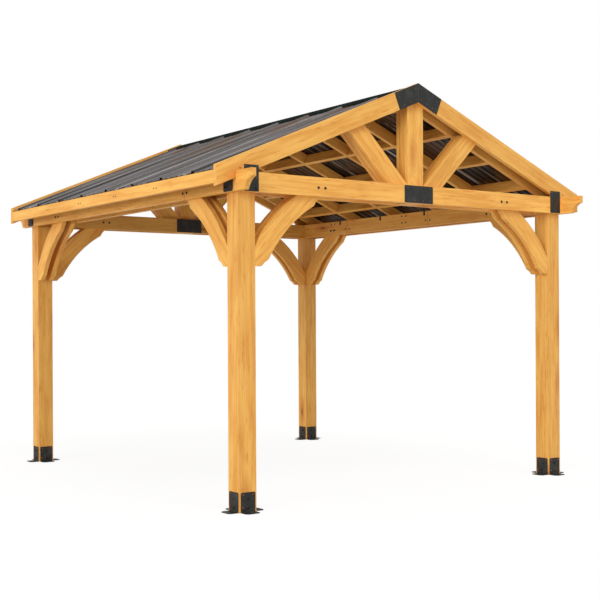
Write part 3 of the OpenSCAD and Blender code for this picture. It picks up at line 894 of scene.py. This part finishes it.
# %% Eave boards and roof
face_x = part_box("fascia_right")[1].x
for sx in (-1, 1):
    for y in (-0.99, -0.327, 0.327, 0.99):
        for step in (-0.02, 0.02):
            plate_screws.append((Vector((sx * face_x, y + step, 2.3)), Vector((sx, 0, 0))))
ridge_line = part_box("rafters_right")[1].z + math.tan(lean) * BOARD / 2
roof_screws = []
for sx in (-1, 1):
    out = Vector((sx * math.sin(lean), 0, math.cos(lean)))
    down = Vector((sx * math.cos(lean), 0, -math.sin(lean)))
    for run in (0.22, 0.58, 1.06, 1.54, 1.93):
        for number in range(-3, 44, 3):
            y = sheet_low + FIRST_RIB + (number + 0.5) * bead_pitch
            if y > sheet_high - 0.02:
                continue
            place = Vector((0, y, ridge_line)) + down * run + out * 0.002
            roof_screws.append((place, out))
print("eave and roof screws", len(plate_screws), len(roof_screws))

# %% Making them
fasteners("foot_bolts", foot_bolts, 0.011, 0.007, 0.0135, bolt_steel)
fasteners("beam_bolts", bolts, 0.0085, 0.006, 0.0105, bolt_steel)
fasteners("plate_domes", domes, 0.010, 0.007, 0.0125, bolt_steel)
fasteners("brown_screws", screws, 0.005, 0.003, 0.0055, screw_steel, sides=8)
fasteners("plate_screws", plate_screws, 0.005, 0.003, 0.0055, plate_screw, sides=8)
fasteners("beam_screws", beam_screws, 0.008, 0.003, 0.0085, bolt_steel, sides=8)
fasteners("roof_screws", roof_screws, 0.006, 0.004, 0.0085, cap_finish, 6)

# %% [markdown]
# ## Studio
# A plain pale floor and an even, soft light, as in a product photograph. The floor is nearly
# white to the camera and keeps a soft shadow, and it throws light back up, which is what
# makes the undersides of the beams and rafters glow as they do in the picture.

# %% Floor
def make_floor():
    mesh = bpy.data.meshes.new("studio_floor")
    reach, low = 60.0, -0.001
    mesh.from_pydata([(-reach, -reach, low), (reach, -reach, low), (reach, reach, low),
                      (-reach, reach, low)], [], [(0, 1, 2, 3)])
    floor = bpy.data.objects.new("studio_floor", mesh)
    bpy.context.scene.collection.objects.link(floor)
    made = bpy.data.materials.new("Studio floor")
    made.use_nodes = True
    tree = made.node_tree
    tree.nodes.clear()
    out = tree.nodes.new("ShaderNodeOutputMaterial")
    shade = add(tree, "ShaderNodeBsdfDiffuse", {"Color": (0.9, 0.9, 0.9, 1.0)})
    glow = add(tree, "ShaderNodeEmission", {"Color": (1, 1, 1, 1), "Strength": 1.06})
    seen = add(tree, "ShaderNodeMixShader", {0: 0.82, 1: shade.outputs[0], 2: glow.outputs[0]})
    bounce = add(tree, "ShaderNodeBsdfDiffuse", {"Color": (0.74, 0.72, 0.70, 1.0)})
    path = add(tree, "ShaderNodeLightPath")
    final = add(tree, "ShaderNodeMixShader",
                {0: path.outputs["Is Camera Ray"], 1: bounce.outputs[0], 2: seen.outputs[0]})
    tree.links.new(final.outputs[0], out.inputs["Surface"])
    mesh.materials.append(made)
    return floor


make_floor()


# %% Light
def make_world():
    world = bpy.data.worlds.new("Studio world")
    bpy.context.scene.world = world
    world.use_nodes = True
    tree = world.node_tree
    tree.nodes.clear()
    out = tree.nodes.new("ShaderNodeOutputWorld")
    path = add(tree, "ShaderNodeLightPath")
    sky = add(tree, "ShaderNodeBackground", {"Color": (1.0, 0.98, 0.96, 1.0), "Strength": 0.68})
    white = add(tree, "ShaderNodeBackground", {"Color": (1, 1, 1, 1), "Strength": 1.0})
    direct = sum_of(tree, "MAXIMUM", path.outputs["Is Camera Ray"],
                    path.outputs["Is Transmission Ray"])
    final = add(tree, "ShaderNodeMixShader", {0: direct, 1: sky.outputs[0], 2: white.outputs[0]})
    tree.links.new(final.outputs[0], out.inputs["Surface"])


def make_lamp(name, azimuth, elevation, strength, spread):
    """A soft sun; azimuth is the compass side it shines from, -Y being 0."""
    lamp = bpy.data.lights.new(name, "SUN")
    lamp.energy = strength
    lamp.angle = math.radians(spread)
    holder = bpy.data.objects.new(name, lamp)
    bpy.context.scene.collection.objects.link(holder)
    towards = Vector((-math.sin(math.radians(azimuth)) * math.cos(math.radians(elevation)),
                      -math.cos(math.radians(azimuth)) * math.cos(math.radians(elevation)),
                      math.sin(math.radians(elevation))))
    holder.rotation_euler = towards.to_track_quat("Z", "Y").to_euler()
    return holder


make_world()
make_lamp("key_lamp", 66, 15, 1.5, 35)
make_lamp("fill_lamp", 0, 52, 0.6, 30)
bpy.context.scene.view_settings.view_transform = "Standard"
print("studio ready")
